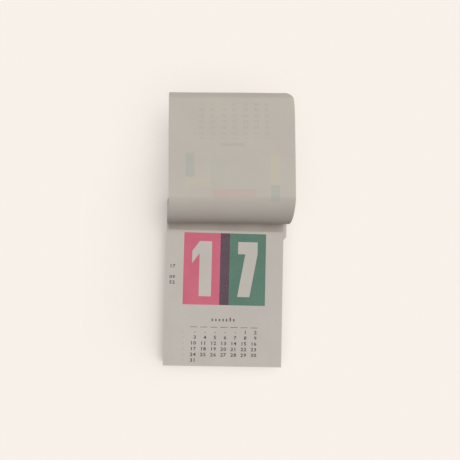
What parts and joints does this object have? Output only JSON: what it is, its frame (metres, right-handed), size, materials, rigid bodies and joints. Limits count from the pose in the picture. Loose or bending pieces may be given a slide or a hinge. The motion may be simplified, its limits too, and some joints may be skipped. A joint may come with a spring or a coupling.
{
  "type": "calendar",
  "caption": "Page-a-day calendar pad lying on its back, its used leaves curled over the head, open leaf with two colour panels.",
  "frame": {"origin": "below the middle of the whole object's box, on the surface the backing card lies on", "axes": "+X across a leaf to the reader's right, +Y up the leaf towards its head, +Z from the backing card to the reader"},
  "size_m": [0.1086, 0.2366, 0.052],
  "materials": {
    "leaf_paper": "uncoated, warm grey-white",
    "grey_card": "uncoated grey board",
    "dried_glue": "satin, milky",
    "grey_ink": "flat print",
    "pink_ink": "flat print",
    "green_ink": "flat print",
    "plum_ink": "flat print"
  },
  "bodies": {
    "root": {"backing_card": "grey_card", "leaf_block": "leaf_paper", "turned_leaves": "leaf_paper", "head_glue": "dried_glue", "head_band": "grey_ink", "left_panel": "pink_ink", "panel_overlap": "plum_ink", "right_panel": "green_ink"}
  },
  "joints": []
}
